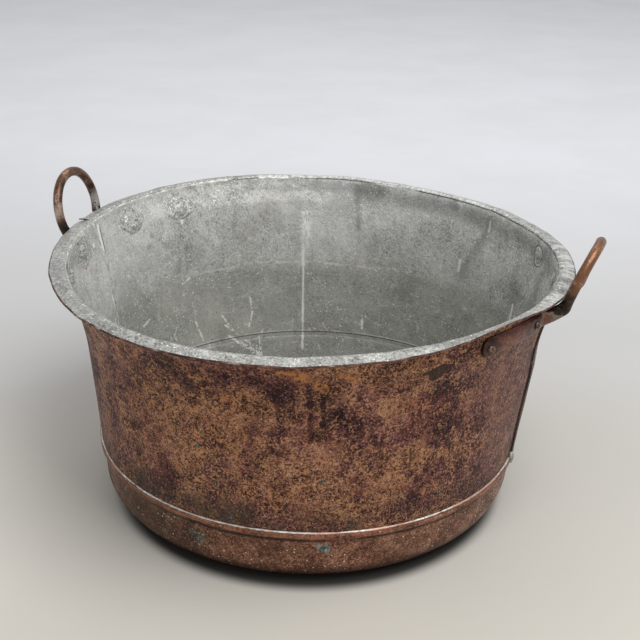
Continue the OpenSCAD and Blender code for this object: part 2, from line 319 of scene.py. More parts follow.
class Nodes:
    """builds one material; tone is the colour painted so far, and coat lays the next one over it"""

    def __init__(self, name):
        self.material = bpy.data.materials.new(name)
        self.material.use_nodes = True
        self.tree = self.material.node_tree
        self.tree.nodes.clear()
        self.bsdf = self.add("BsdfPrincipled")
        self.add("OutputMaterial", {0: self.bsdf.outputs[0]})
        self.coords = self.add("TexCoord").outputs["Object"]
        self.x, self.y, self.z = self.add("SeparateXYZ", {0: self.coords}).outputs
        self.tone = None

    def add(self, kind, sockets=None, **settings):
        """a new node with its settings, and its sockets fed with constants or other nodes' outputs"""
        node = self.tree.nodes.new("ShaderNode" + kind)
        for key, value in settings.items():
            setattr(node, key, value)
        for key, value in (sockets or {}).items():
            self.feed(node.inputs[key], value)
        return node

    def feed(self, socket, value):
        if isinstance(value, bpy.types.NodeSocket):
            self.tree.links.new(value, socket)
        else:
            socket.default_value = value

    def stretch(self, scale):
        return self.add("Mapping", {"Scale": scale, "Vector": self.coords}).outputs[0]

    def noise(self, scale, detail=4, rough=0.6, vector=None, distort=0):
        sockets = {"Scale": scale, "Detail": detail, "Roughness": rough, "Distortion": distort,
                   "Vector": vector or self.coords}
        return self.add("TexNoise", sockets).outputs[0]

    def cells(self, scale, feature="F1", vector=None):
        sockets = {"Scale": scale, "Vector": vector or self.coords}
        return self.add("TexVoronoi", sockets, feature=feature).outputs["Distance"]

    def span(self, value, low, high, to_low=0, to_high=1):
        """a smooth step of a value from one range to another"""
        sockets = {"Value": value, "From Min": low, "From Max": high, "To Min": to_low, "To Max": to_high}
        return self.add("MapRange", sockets, interpolation_type="SMOOTHSTEP").outputs[0]

    def patch(self, scale, *steps):
        return self.span(self.noise(scale), *steps)

    def flecks(self, scale, rim, core, gather, low, high):
        """small specks of a cell pattern, where a coarser noise is high"""
        return self.by(self.span(self.cells(scale), rim, core), self.patch(gather, low, high))

    def math(self, kind, *values):
        return self.add("Math", dict(enumerate(values)), operation=kind).outputs[0]

    def by(self, a, b):
        return self.math("MULTIPLY", a, b)

    def plus(self, a, b):
        return self.math("ADD", a, b)

    def minus(self, a, b):
        return self.math("SUBTRACT", a, b)

    def weigh(self, *pairs):
        total = None
        for value, share in pairs:
            part = self.by(value, share)
            total = part if total is None else self.plus(total, part)
        return total

    def either(self, *masks):
        total = masks[0]
        for mask in masks[1:]:
            total = self.math("MAXIMUM", total, mask)
        return total

    def vector(self, kind, a, b):
        node = self.add("VectorMath", {0: a, 1: b}, operation=kind)
        return node.outputs["Value" if kind in ("DOT_PRODUCT", "DISTANCE") else "Vector"]

    def torn(self, off, width, ragged, soft, wear):
        """a mask within a distance, with its border worn by a noise"""
        wear = self.math("MULTIPLY_ADD", wear, width * ragged * 2, -width * ragged)
        return self.span(self.plus(off, wear), width, width * (1 - soft))

    def spot(self, at, radius, soft=0.5, ragged=0.35):
        """a ragged round mask about a point of the vessel"""
        off = self.vector("DISTANCE", self.coords, at)
        return self.torn(off, radius, ragged, soft, self.noise(90, 4, 0.65))

    def stroke(self, start, end, width, ragged=0.4, soft=0.6, grain=160):
        """a ragged mask along a line between two points"""
        a = Vector(start)
        way = Vector(end) - a
        along = self.vector("DOT_PRODUCT", self.vector("SUBTRACT", self.coords, tuple(a)), tuple(way))
        share = self.math("MAXIMUM", self.math("DIVIDE", along, way.length_squared), 0)
        share = self.math("MINIMUM", share, 1)
        scaled = self.add("VectorMath", operation="SCALE")
        scaled.inputs[0].default_value = tuple(way)
        self.feed(scaled.inputs["Scale"], share)
        off = self.vector("DISTANCE", self.coords, self.vector("ADD", scaled.outputs[0], tuple(a)))
        return self.torn(off, width, ragged, soft, self.noise(grain, 4, 0.65))

    def spots(self, side, *rows):
        """spots on one side of the wall: angle, height and radius in mm, softness, raggedness"""
        return self.either(*[self.spot(place(a, z / MM, side), r / MM, *rest) for a, z, r, *rest in rows])

    def strokes(self, side, *rows):
        """strokes on one side: angle and height of both ends, width in mm, raggedness, softness, grain"""
        return self.either(*[self.stroke(place(a, y / MM, side), place(b, z / MM, side), w / MM, *rest)
                             for a, y, b, z, w, *rest in rows])

    def rivet_rings(self, radius, width):
        """ragged rings about the inner ends of one handle's rivets"""
        rings = []
        for angle in (RIVET_A1, RIVET_A2):
            off = self.vector("DISTANCE", self.coords, place(angle, FOOT_MID, INSIDE))
            off = self.math("ABSOLUTE", self.minus(off, radius))
            rings.append(self.torn(off, width, 0.5, 0.7, self.noise(170, 3)))
        return self.either(*rings)

    def ramp(self, value, stops):
        """colours along a value, from a text of percentages and colours"""
        node = self.add("ValToRGB", {0: value})
        band = node.color_ramp
        stops = [stop.split(":") for stop in stops.split()]
        while len(band.elements) < len(stops):
            band.elements.new(0.5)
        for element, (at, tone) in zip(band.elements, stops):
            element.position = int(at) / 100
            element.color = colour(tone)
        return node.outputs[0]

    def around(self, turn_scale, radius_scale, height_scale):
        """coordinates that run round the vessel, out from its axis and up, each in its own scale"""
        turn = self.math("ABSOLUTE", self.math("ARCTAN2", self.y, self.x))
        reach = self.plus(self.by(self.x, self.x), self.by(self.y, self.y))
        reach = self.math("POWER", reach, 0.5)
        sockets = {0: self.by(turn, 0.34 * turn_scale), 1: self.by(reach, radius_scale),
                   2: self.by(self.z, height_scale)}
        return self.add("CombineXYZ", sockets).outputs[0]

    def veins(self, scale, width, vector=None, distort=1.2, detail=3):
        """thin wandering lines, where a noise crosses its middle"""
        off = self.math("ABSOLUTE", self.minus(self.noise(scale, detail, 0.6, vector, distort), 0.5))
        return self.span(off, width, width * 0.3)

    def bump(self, height, distance, strength):
        return self.add("Bump", {"Strength": strength, "Distance": distance, "Height": height}).outputs[0]

    def coat(self, mask, tone, share=None):
        """lays a colour, or the colours of another node, over what is painted so far"""
        if share is not None:
            mask = self.by(mask, share)
        tone = colour(tone) if isinstance(tone, str) else tone
        self.tone = self.add("Mix", {0: mask, 6: self.tone, 7: tone}, data_type="RGBA").outputs[2]

    def set(self, metal, rough, specular, normal=None):
        """the finished material, in the colour painted so far"""
        values = {"Base Color": self.tone, "Metallic": metal, "Roughness": rough,
                  "Specular IOR Level": specular}
        if normal is not None:
            values["Normal"] = normal
        for name, value in values.items():
            self.feed(self.bsdf.inputs[name], value)
        return self.material


# ---- materials ----
def speckle(n, warmer, darker, stops, fine=1.0):
    """tarnish in grains, flakes and cracks of one to three millimetres, gathered into patches"""
    large = n.noise(9, 5, distort=0.5)
    medium = n.noise(34, 5, 0.62, distort=0.6)
    small = n.noise(150, 2, distort=0.8)
    grain = n.noise(380, 1, distort=0.4)
    cracks = n.veins(95, 0.022)
    flakes = n.veins(80, 0.02, n.stretch((1.1, 1.2, 0.9)))
    value = n.weigh((large, 0.4), (medium, 0.58), (small, 0.55), (grain, 0.8 * fine))
    value = n.minus(value, 0.5 * (0.4 + 0.58 + 0.55 + 0.8 * fine) - 0.5)
    value = n.plus(value, n.by(warmer, 0.07))
    value = n.minus(value, n.by(darker, 0.095))
    value = n.plus(value, n.by(flakes, 0.11 * fine))
    value = n.minus(value, n.by(cracks, 0.15 * fine))
    n.tone = n.ramp(value, stops)
    fleck = n.plus(n.noise(360, 3, 0.8, distort=1.2), n.by(medium, 0.2))
    n.coat(n.span(fleck, 0.565, 0.535, 0, 0.7 * fine), "20100d")
    n.coat(n.span(fleck, 0.645, 0.675, 0, 0.58 * fine), "d3a688")
    return value, large, medium, small, grain


def wall_copper():
    n = Nodes("copper_wall_aged")
    warmer = n.spots(
        OUTSIDE, (-92.8, 215, 75, 0.7), (-84, 262, 40, 0.7), (-71.5, 170, 50, 0.8), (-100, 150, 50, 0.8),
        (-52, 150, 45, 0.8), (-66.8, 309, 13, 0.4), (-52.7, 257, 26, 0.7), (-44, 302, 28, 0.7),
        (-43.9, 171, 30, 0.8), (-61, 115, 26, 0.8), (-59, 300, 30, 0.8), (-88, 236, 45, 0.7),
        (95, 200, 80, 0.8), (150, 160, 60, 0.8), (40, 170, 70, 0.8))
    darker = n.either(
        n.spots(
            OUTSIDE, (-75.5, 280, 26, 0.7), (-80.5, 297, 22, 0.7), (-88, 297, 20, 0.8),
            (-101, 300, 30, 0.9), (-63.5, 245, 20, 0.8), (-38.7, 262, 24, 0.8), (-106, 135, 40, 0.8),
            (-60, 232, 26, 0.8), (-47, 120, 26, 0.9), (70, 250, 60, 0.8), (120, 270, 50, 0.8),
            (-140, 200, 60, 0.8), (10, 220, 50, 0.8)),
        n.strokes(OUTSIDE, (-69.8, 292, -69.2, 215, 6), (-67, 278, -66.8, 235, 5)))
    value, large, medium, small, grain = speckle(
        n, warmer, darker, "24:220f0b 37:4a2a20 46:6c4232 54:885941 63:a36f52 76:cb9c7c")
    plum_tone = n.ramp(value, "26:170b0d 38:371f20 48:573432 58:734842 68:99695a 82:c39c86")
    where = n.noise(27, 5, 0.62, distort=0.8)
    where = n.weigh((large, 0.55), (where, 0.75), (darker, 0.1), (warmer, -0.1))
    right = n.spots(OUTSIDE, (-32, 240, 110, 0.9), (-30, 130, 90, 0.9), (-12, 270, 100, 0.7))
    where = n.weigh((where, 1), (small, 0.22), (grain, 0.1))
    plum = n.span(n.plus(where, n.by(right, 0.085)), 0.795, 0.835)
    n.coat(plum, plum_tone)
    cluster = n.weigh((n.noise(44, 4, 0.6, n.stretch((1.2, 1, 1)), 1), 1), (warmer, 0.05), (darker, -0.03))
    gold = n.by(n.span(cluster, 0.5, 0.6), n.span(n.plus(small, grain), 0.96, 1.12))
    n.coat(gold, "c18c5e", 0.62)
    ruddy = n.by(n.patch(17, 0.5, 0.6), n.span(small, 0.4, 0.6))
    n.coat(ruddy, "7c4132", 0.3)
    # the lap's dark edge down the right seam, widened with painted shade in the groove beside it
    edge = n.strokes(OUTSIDE, (-2, 86, -2, 300, 9.5, 0.2, 0.3))
    n.coat(edge, "150d0c", 0.93)
    orange = n.strokes(
        OUTSIDE, (-67.9, 296, -65.6, 284, 11, 0.8, 0.8, 70), (-75.2, 311, -71, 304, 11, 0.8, 0.8, 70),
        (-63.4, 304, -61, 300, 8, 0.8, 0.8, 70))
    torn = n.span(n.noise(120, 4, 0.7, distort=0.8), 0.46, 0.54)
    n.coat(n.by(orange, torn), "bd7d48")
    run = n.noise(75, 5, 0.6, n.stretch((1, 1, 0.1)))
    n.coat(n.span(run, 0.58, 0.72, 0, 0.4), "2c1a1a")
    # the wall darker just above the pan's band, by height
    darker_above_band = n.by(n.span(n.z, SEAM_Z + 0.055, SEAM_Z + 0.002), n.span(medium, 0.42, 0.6))
    n.coat(darker_above_band, "33291f", 0.65)
    # a darker olive patch low on the left of the wall
    dark_low_left = n.strokes(OUTSIDE, (-116, 98, -84, 104, 26, 0.5, 0.9, 60))
    n.coat(n.by(dark_low_left, n.span(small, 0.34, 0.54, 0.2, 0.7)), "38332a")
    cracks = n.span(n.cells(60, "DISTANCE_TO_EDGE", n.stretch((1, 1, 1.6))), 0.01, 0.002)
    cracks = n.by(cracks, n.patch(17, 0.5, 0.6))
    n.coat(cracks, "2a1815", 0.6)
    drop = n.either(
        n.spots(OUTSIDE, (-43.2, 293, 11.2, 0.12, 0.2), (-41.9, 297, 8.5, 0.15, 0.2)),
        n.strokes(OUTSIDE, (-46, 296, -40.2, 300, 3.6, 0.3, 0.2)))
    n.coat(drop, "2f1d16", 0.93)
    green = n.ramp(n.noise(300, 4, 0.75), "38:1d2824 50:33453f 58:5d7a70 66:a5bcb4")
    broken = n.span(n.noise(190, 4, 0.7), 0.4, 0.5, 0.25, 0.9)
    spots = n.spots(
        OUTSIDE, (-101.1, 210, 4.5), (-95.3, 187, 4.5), (-91.3, 142, 3.5), (-66.9, 158, 4), (-59.7, 96, 5),
        (-26.4, 176, 4), (-37.5, 112, 4), (-88, 94, 6))
    stray = n.by(n.span(n.cells(19), 0.06, 0.03), n.span(grain, 0.44, 0.54))
    n.coat(n.by(n.either(spots, stray), broken), green)
    dust = n.flecks(180, 0.2, 0.12, 30, 0.46, 0.54)
    n.coat(dust, "cda78c", 0.6)
    soot = n.flecks(150, 0.24, 0.17, 26, 0.44, 0.52)
    n.coat(soot, "1a0e0d", 0.7)
    rosy = n.spots(OUTSIDE, (-17, 250, 95, 0.6), (-13, 150, 80, 0.7))
    rosy_tone = n.ramp(
        n.weigh((small, 0.35), (grain, 0.45), (run, 0.2)), "34:4a302d 45:6c4b45 55:855f56 66:a27c70")
    n.coat(rosy, rosy_tone, 0.58)
    motes = n.by(n.span(n.cells(165), 0.2, 0.12), rosy)
    n.coat(motes, "d8b9aa", 0.75)
    rough = n.span(value, 0.4, 0.62, 0.58, 0.42)
    height = n.weigh((value, 1), (grain, 0.4), (n.noise(22, 3, 0.5), 0.8))
    normal = n.bump(height, 0.0018, 0.7)
    return n.set(metal=0.3, rough=rough, normal=normal, specular=0.25)


def pan_copper():
    n = Nodes("copper_pan_aged")
    warmer = n.spots(OUTSIDE, (-45, 55, 90, 0.8), (100, 50, 90, 0.8))
    darker = n.spots(OUTSIDE, (-118, 50, 70, 0.8), (-97, 35, 45, 0.8))
    value, _, medium, small, _ = speckle(
        n, warmer, darker, "24:2b1510 36:472a1f 46:623b2b 55:7c4d39 64:946350 78:b58a77", 0.8)
    olive = n.span(n.noise(12, 3, 0.5), 0.42, 0.58)
    n.coat(n.spots(OUTSIDE, (-118, 45, 130, 0.7)), "4f3b2b", 0.55)
    n.coat(olive, "6a4d38", 0.25)
    rosy = n.by(n.span(n.z, FOOT_Z - 0.012, SEAM_Z), n.span(medium, 0.38, 0.57))
    n.coat(rosy, "9c5d45", 0.45)
    # painted shade: the pan darker towards its bottom, where the corner turns under
    n.coat(n.span(n.z, 0.04, 0.004, 0, 0.7), "2c1f1a")
    crumbs = n.flecks(150, 0.18, 0.11, 24, 0.47, 0.53)
    n.coat(crumbs, "e2d6c4", 0.9)
    nicks = n.veins(70, 0.01, n.stretch((1, 1, 2.2)), 0.9, 2)
    nicks = n.by(nicks, n.span(n.noise(40, 3), 0.48, 0.54))
    n.coat(nicks, "1c110d", 0.8)
    # painted highlight: light streaks running round the pan's band
    band_highlights = n.noise(60, 4, 0.6, n.around(0.25, 1, 9))
    n.coat(n.by(n.span(band_highlights, 0.54, 0.62), n.span(n.z, FOOT_Z - 0.004, SEAM_Z, 0, 0.55)), "c98d70")
    # painted shade in the groove under the band's lower edge, broken up by a noise
    groove_shade = n.span(n.z, FOOT_Z - 0.0075, FOOT_Z - 0.004)
    groove_shade = n.by(groove_shade, n.span(n.z, FOOT_Z + 0.0022, FOOT_Z + 0.0006))
    groove_shade = n.by(groove_shade, n.patch(11, 0.36, 0.5))
    n.coat(groove_shade, "1c100c", 0.85)
    green = n.ramp(n.noise(280, 4, 0.75), "38:1a2421 49:3a4a45 57:69857c 66:b3c8c2")
    big = n.by(n.spots(OUTSIDE, (-97.6, 50, 15, 0.6, 0.5)), n.span(n.noise(150, 5, 0.7), 0.42, 0.54))
    halo = n.by(n.spots(OUTSIDE, (-65.8, 58, 11, 0.7, 0.9)), n.span(small, 0.4, 0.52))
    n.coat(halo, "8aa0a0", 0.7)
    more = n.spots(
        OUTSIDE, (-65.8, 58, 6.2, 0.4), (-108.7, 40, 5, 0.5), (-103, 66, 4, 0.5), (60, 50, 9, 0.5))
    n.coat(n.either(big, more), green, 0.85)
    rough = n.span(value, 0.38, 0.64, 0.5, 0.33)
    normal = n.bump(n.weigh((value, 0.9), (n.noise(26, 3, 0.5), 1)), 0.0014, 0.65)
    return n.set(metal=0.34, rough=rough, normal=normal, specular=0.28)


def tin_tone(n, stops):
    """dull tin in soft clouds and fine grain, with faint runs and cracks"""
    large = n.noise(5.5, 5, distort=0.5)
    medium = n.noise(30, 5, 0.65, distort=0.5)
    small = n.noise(130, 3, 0.65, distort=0.6)
    grain = n.noise(420, 1)
    run = n.noise(34, 5, 0.62, n.stretch((1, 1, 0.12)))
    value = n.weigh((large, 0.4), (medium, 0.4), (small, 0.46), (grain, 0.8), (run, 0.18))
    value = n.minus(value, 0.62)
    value = n.minus(value, n.by(n.veins(60, 0.012), 0.06))
    n.tone = n.ramp(value, stops)
    return medium, small, grain


def inner_tin():
    n = Nodes("tin_lining")
    medium, small, grain = tin_tone(
        n, "24:7a7b76 38:9d9e99 48:b1b2ad 57:bebfba 68:cbccc7 82:dfdfdb")
    cloud = n.noise(13, 5, 0.62, distort=0.9)
    n.coat(n.span(cloud, 0.52, 0.66, 0, 0.42), "86867f")
    n.coat(n.span(cloud, 0.48, 0.34, 0, 0.35), "d6d6d2")
    # painted light: the lining lightened on the left and at the back
    painted_light = n.spots(INSIDE, (178, 260, 150, 0.9), (104, 280, 130, 0.9))
    n.coat(painted_light, "dadad6", 0.28)
    # painted light near the top at the back, over the shade under the lip
    painted_light = n.either(
        n.strokes(INSIDE, (86.5, 300, 64, 312, 26, 0.8, 0.9, 60)),
        n.spots(INSIDE, (76, 318, 24, 0.8), (80, 328, 16, 0.8)))
    n.coat(painted_light, "dcdcd8", 0.3)
    # painted shade: a darker strip just under the lip at the back
    neck_shade = n.strokes(INSIDE, (128, 322, 110, 322, 10, 0.9, 0.8, 60), (110, 322, 89, 323, 13, 0.9, 0.7, 60))
    n.coat(neck_shade, "66665f", 0.34)
    level = n.plus(n.z, n.by(n.noise(7, 5, 0.62), 0.034))
    low = n.span(level, 0.236, 0.196)
    n.coat(low, "7c7a71", 0.47)
    # painted light low on the left of the lining
    painted_light = n.spots(
        INSIDE, (157, 170, 55, 0.9), (143.5, 136, 60, 0.9), (133, 100, 55, 0.9), (148, 89, 50, 0.9))
    n.coat(painted_light, "c6c4bd", 0.36)
    dense = n.span(n.plus(n.noise(15), n.by(low, 0.09)), 0.5, 0.6)
    busy = n.spots(INSIDE, (168, 180, 150, 0.8), (200, 220, 120, 0.8), (45, 280, 120, 0.8))
    dense = n.either(dense, n.by(busy, 0.8))
    pits = n.by(n.span(n.cells(170), 0.18, 0.08), dense)
    n.coat(pits, "3f403b", 0.8)
    thick = n.plus(n.noise(13), n.by(busy, 0.1))
    chips = n.by(n.span(n.cells(150), 0.18, 0.11), n.span(thick, 0.48, 0.56))
    n.coat(chips, "f4f4f0", 0.92)
    dots = n.by(n.span(n.cells(165), 0.19, 0.12), n.spots(INSIDE, (44, 290, 125, 0.6, 0.6)))
    n.coat(dots, "f0f0ec", 0.8)
    scuffs = n.either(
        n.veins(16, 0.004, n.stretch((1, 1, 2.4)), 0.5, 2),
        n.veins(24, 0.004, n.stretch((2.2, 2.2, 0.6)), 0.5, 2),
        n.veins(30, 0.0035, n.stretch((0.7, 1.6, 1.2)), 0.8, 2))
    scuffs = n.by(scuffs, n.span(n.plus(n.noise(38, 3), n.by(busy, 0.07)), 0.5, 0.56))
    n.coat(scuffs, "ecece8", 0.75)
    brown = n.by(n.patch(8, 0.55, 0.66), n.span(grain, 0.45, 0.6))
    n.coat(brown, "8a7263", 0.3)
    n.coat(n.spots(INSIDE, (93, 321, 27, 0.35, 0.55)), "62625b", 0.3)
    n.coat(n.spots(INSIDE, (66.5, 325, 11, 0.4, 0.6)), "62625b", 0.34)
    stains = n.either(
        n.strokes(
            INSIDE, (97.2, 325, 96, 262, 8, 0.9, 0.9), (53.4, 316, 57.6, 258, 12, 0.8, 0.9),
            (57.6, 258, 60.2, 222, 15, 0.8, 0.9)),
        n.spots(
            INSIDE, (161.7, 282, 7, 0.8), (163.6, 266, 8, 0.8), (150.4, 249, 7, 0.8), (157, 262, 13, 0.9),
            (36, 245, 30, 0.8, 0.6), (24, 215, 22, 0.8, 0.6), (20, 170, 50, 0.9), (-60, 200, 60, 0.9)))
    n.coat(stains, "62625b", 0.42)
    wide = n.strokes(INSIDE, (111.7, 282, 112, 246, 11.5, 0.9, 0.8), (112, 258, 112.4, 200, 8.5, 0.9, 0.8))
    frayed = n.span(n.noise(190, 3, 0.65, n.stretch((1, 1, 0.1))), 0.38, 0.52, 0.15, 1)
    on_floor = [cyl(math.radians(a), r, z)
                for a, r, z in ((112.9, 0.262, 0.012), (112.9, 0.264, 0.012), (113.2, 0.11, 0.004))]
    drips = n.either(
        n.strokes(
            INSIDE, (112.6, 225, 112.8, 120, 2.4, 0.7, 0.8), (112.7, 130, 112.8, 50, 3, 0.7, 0.7),
            (112.8, 74, 114, 64, 2, 0.5), (114, 64, 115.8, 61, 2.2, 0.5), (53.3, 318, 54, 302, 3, 0.5),
            (61.5, 245, 61.7, 228, 3.4, 0.6), (35.7, 222, 35.9, 196, 3.6, 0.5),
            (22, 245, 22.4, 215, 2.6, 0.6), (178.5, 160, 178.8, 105, 2.4, 0.5),
            (-176.5, 226, -177.8, 190, 2.4, 0.5), (150.2, 302, 150.4, 288, 3.2, 0.5)),
        n.stroke(place(112.8, 0.052, INSIDE), on_floor[0], 0.0034, 0.5, 0.6),
        n.stroke(on_floor[1], on_floor[2], 0.0038, 0.4, 0.5))
    dotted = n.by(n.strokes(INSIDE, (95.9, 283, 93.1, 88, 3, 0.4)), n.span(n.noise(55, 3), 0.5, 0.56))
    scratch = n.strokes(
        INSIDE, (138.7, 105, 127, 50, 2.6, 0.9), (137.6, 84, 127.4, 47, 3.4, 1),
        (135, 72, 127.6, 44, 3.4, 1), (132.5, 62, 127, 42, 2.6, 0.9), (127.4, 76, 126.6, 40, 2.2, 0.8),
        (131, 74, 130, 50, 3, 1.1), (129.8, 147, 129.6, 121, 2.2, 0.9), (129.3, 121, 130.5, 96, 2.4, 0.9),
        (139.6, 123, 136, 93, 2.2, 1), (149.2, 123, 146.8, 88, 2.2, 1), (170, 150, 150, 200, 3, 1.2))
    scratch = n.by(scratch, n.span(n.noise(190, 3, distort=0.8), 0.42, 0.5))
    pale = n.either(n.by(wide, frayed), drips, dotted, scratch)
    n.coat(pale, "efefeb", 0.8)
    line = n.by(n.span(level, 0.2165, 0.2185), n.span(level, 0.2225, 0.22))
    line = n.by(line, n.span(n.noise(70, 5, 0.7), 0.44, 0.56))
    line = n.by(line, n.spots(INSIDE, (116, 220, 235, 0.5, 0.3)))
    n.coat(line, "deded8", 0.55)
    joint = n.by(n.span(n.z, 0.079, 0.0797), n.span(n.z, 0.0815, 0.0807))
    n.coat(joint, "34342f", 0.75)
    glint = n.by(n.span(n.z, 0.0813, 0.0819), n.span(n.z, 0.0836, 0.0829))
    glint = n.by(glint, n.patch(30, 0.4, 0.52))
    n.coat(glint, "d6d4c8", 0.65)
    # the tin run's pale ridge down the left seam, brightened as painted highlight
    ridge = n.either(
        n.strokes(
            INSIDE, (180.6, 326, 181.9, 292, 3.4, 0.7, 0.5), (181.9, 294, 182.6, 270, 2.6, 0.8, 0.5),
            (182.6, 270, 184.4, 160, 1.6, 0.9, 0.5)), n.spots(INSIDE, (185.6, 306, 4.2, 0.4)))
    n.coat(ridge, "efefea", 0.85)
    # painted shade: a dark line beside the seam's ridge
    under = n.strokes(
        INSIDE, (179.9, 322, 181.3, 290, 1.4, 0.5, 0.5), (181.3, 290, 183.7, 170, 1.1, 0.9, 0.5))
    n.coat(under, "55554f", 0.8)
    chip = n.either(
        n.spots(INSIDE, (-165.7, 291, 3.6, 0.4)), n.strokes(INSIDE, (-164.6, 293, -166.2, 288, 1.2, 0.5)))
    n.coat(chip, "a8603c")
    # painted shade in a dark ring round each rove, and inside it a pale ring of tin and painted highlight
    n.coat(n.rivet_rings(0.015, 0.0018), "44443f", 0.65)
    n.coat(n.rivet_rings(0.0128, 0.0016), "e6e6e0", 0.75)
    rough = n.span(small, 0.35, 0.65, 0.6, 0.48)
    height = n.weigh(
        (medium, 0.7), (small, 0.8), (grain, 0.35), (n.noise(16, 3, 0.5), 1), (pale, 0.3), (pits, -0.2))
    normal = n.bump(height, 0.0018, 0.6)
    return n.set(metal=0.14, rough=rough, normal=normal, specular=0.35)


def crease_tin():
    """the sharp turn from wall to lip: pale tin as painted highlight, with patches of painted shade"""
    n = Nodes("tin_crease")
    # painted shade in patches along the turn
    dark_patches = n.spots(INSIDE, (46, 325, 250, 0.3), (103, 325, 75, 0.3), (129, 325, 30, 0.3))
    dark_patches = n.by(dark_patches, n.patch(45, 0.3, 0.44))
    n.tone = n.ramp(n.noise(90, 4, 0.65), "35:a2a29d 50:c2c2bd 62:ecece8")
    n.coat(dark_patches, "40403b", 0.9)
    n.coat(n.span(n.noise(230, 3), 0.57, 0.64, 0, 0.6), "cfcfca")
    normal = n.bump(n.noise(120), 0.0012, 0.6)
    return n.set(metal=0.2, rough=0.52, normal=normal, specular=0.35)


def rim_edge():
    """the cut edge of the lip: dark copper with the tin worn back"""
    n = Nodes("copper_rim_edge")
    worn = n.noise(55, 4, 0.65)
    n.tone = n.ramp(worn, "34:2a1b16 48:4a3129 58:6a5045 68:a19a92")
    n.coat(n.span(n.noise(210, 3), 0.54, 0.62, 0, 0.6), "1d1411")
    normal = n.bump(n.noise(140), 0.001, 0.6)
    return n.set(metal=0.35, rough=n.span(worn, 0.3, 0.7, 0.55, 0.38), normal=normal, specular=0.35)


def lip_tin():
    n = Nodes("tin_lip")
    medium, small, _ = tin_tone(
        n, "24:5a5a55 37:85857f 47:9d9d97 57:b0b0ab 68:c6c6c1 80:e0e0db")
    back = n.spots(OUTSIDE, (105, 333, 160, 0.6), (75, 333, 140, 0.6))
    n.coat(n.by(back, n.span(small, 0.4, 0.56, 0.15, 0.6)), "ecece8")
    beaten_facets_and_sheen = n.noise(62, 3, 0.6, n.around(1.3, 0.45, 0.45), 0.7)
    where = n.math("MAXIMUM", n.spots(OUTSIDE, (8, 330, 200, 0.6)), 0.22)
    # painted reflections: the beaten facets lighter and darker along the noise that bumps them
    n.coat(n.by(n.span(beaten_facets_and_sheen, 0.5, 0.62), n.by(where, 0.65)), "e8e8e4")
    n.coat(n.by(n.span(beaten_facets_and_sheen, 0.48, 0.38), n.by(where, 0.5)), "5e5e59")
    chips = n.flecks(165, 0.21, 0.13, 24, 0.46, 0.52)
    n.coat(chips, "fbfbf8", 0.95)
    pits = n.flecks(150, 0.15, 0.08, 19, 0.46, 0.52)
    n.coat(pits, "3e3e39", 0.55)
    nicks = n.by(n.veins(65, 0.01, n.around(1, 2, 1), 0.8, 2), n.span(n.noise(33, 3), 0.48, 0.54))
    n.coat(nicks, "f4f4f0", 0.75)
    # patches worn through to the copper
    dark_patches = n.by(n.patch(28, 0.6, 0.68), n.span(small, 0.5, 0.6))
    n.coat(dark_patches, "7a5a4a", 0.6)
    height = n.weigh((medium, 0.6), (small, 0.6), (n.by(beaten_facets_and_sheen, where), 1.5), (n.noise(18, 3, 0.5), 0.8))
    normal = n.bump(height, 0.0014, 0.6)
    return n.set(metal=0.42, rough=n.span(small, 0.35, 0.65, 0.46, 0.3), normal=normal, specular=0.5)


def solder(name, light, mid, dark, metal=0.45, deep=0.0008, foot=None):
    """solder in light and dark blots; foot is the height where a bead meets the copper below it"""
    n = Nodes(name)
    blot = n.noise(170, 6, 0.68, distort=0.5)
    n.tone = n.ramp(blot, f"32:{dark} 48:{mid} 62:{light} 78:f0eee4")
    n.coat(n.patch(35, 0.58, 0.72, 0, 0.45), "66705f")
    n.coat(n.span(n.cells(330), 0.1, 0.03, 0, 0.5), "55544b")
    if foot is not None:
        low = n.span(n.plus(n.z, n.by(blot, 0.001)), foot + 0.0011, foot + 0.0006)
        n.coat(low, "6b3f2e", 0.92)
        worn = n.plus(n.noise(14, 5, 0.65), n.by(n.spot(place(-38, SEAM_Z), 0.17, 0.6), 0.1))
        worn = n.span(worn, 0.48, 0.6)
        n.coat(n.by(worn, n.span(blot, 0.4, 0.55, 0.35, 0.8)), "b98972")
    normal = n.bump(n.weigh((n.noise(240, 5, 0.65), 1), (blot, 0.6)), deep, 0.7)
    return n.set(metal=metal, rough=n.span(blot, 0.3, 0.7, 0.48, 0.3), normal=normal, specular=0.5)


def foil():
    """tin wiped on hot over a rivet's end: crumpled, with painted shade in its folds and painted
    highlights on its ridges
    """
    n = Nodes("tin_wipe")
    blot = n.noise(150, 4, 0.65, distort=0.6)
    n.tone = n.ramp(blot, "32:92938d 46:b6b7b1 58:cacac5 74:e8e8e4")
    # painted shade in the folds and painted highlights on the ridges
    fold_shade = n.veins(95, 0.026, distort=1.8)
    n.coat(fold_shade, "3c3c37", 0.85)
    ridge_highlights = n.veins(105, 0.034, n.stretch((1.1, 0.9, 1.2)), 1.8)
    n.coat(ridge_highlights, "fafaf7", 0.85)
    height = n.weigh((blot, 1), (fold_shade, -0.5), (ridge_highlights, 0.6))
    normal = n.bump(height, 0.0016, 0.7)
    return n.set(metal=0.3, rough=n.span(blot, 0.3, 0.7, 0.5, 0.32), normal=normal, specular=0.45)


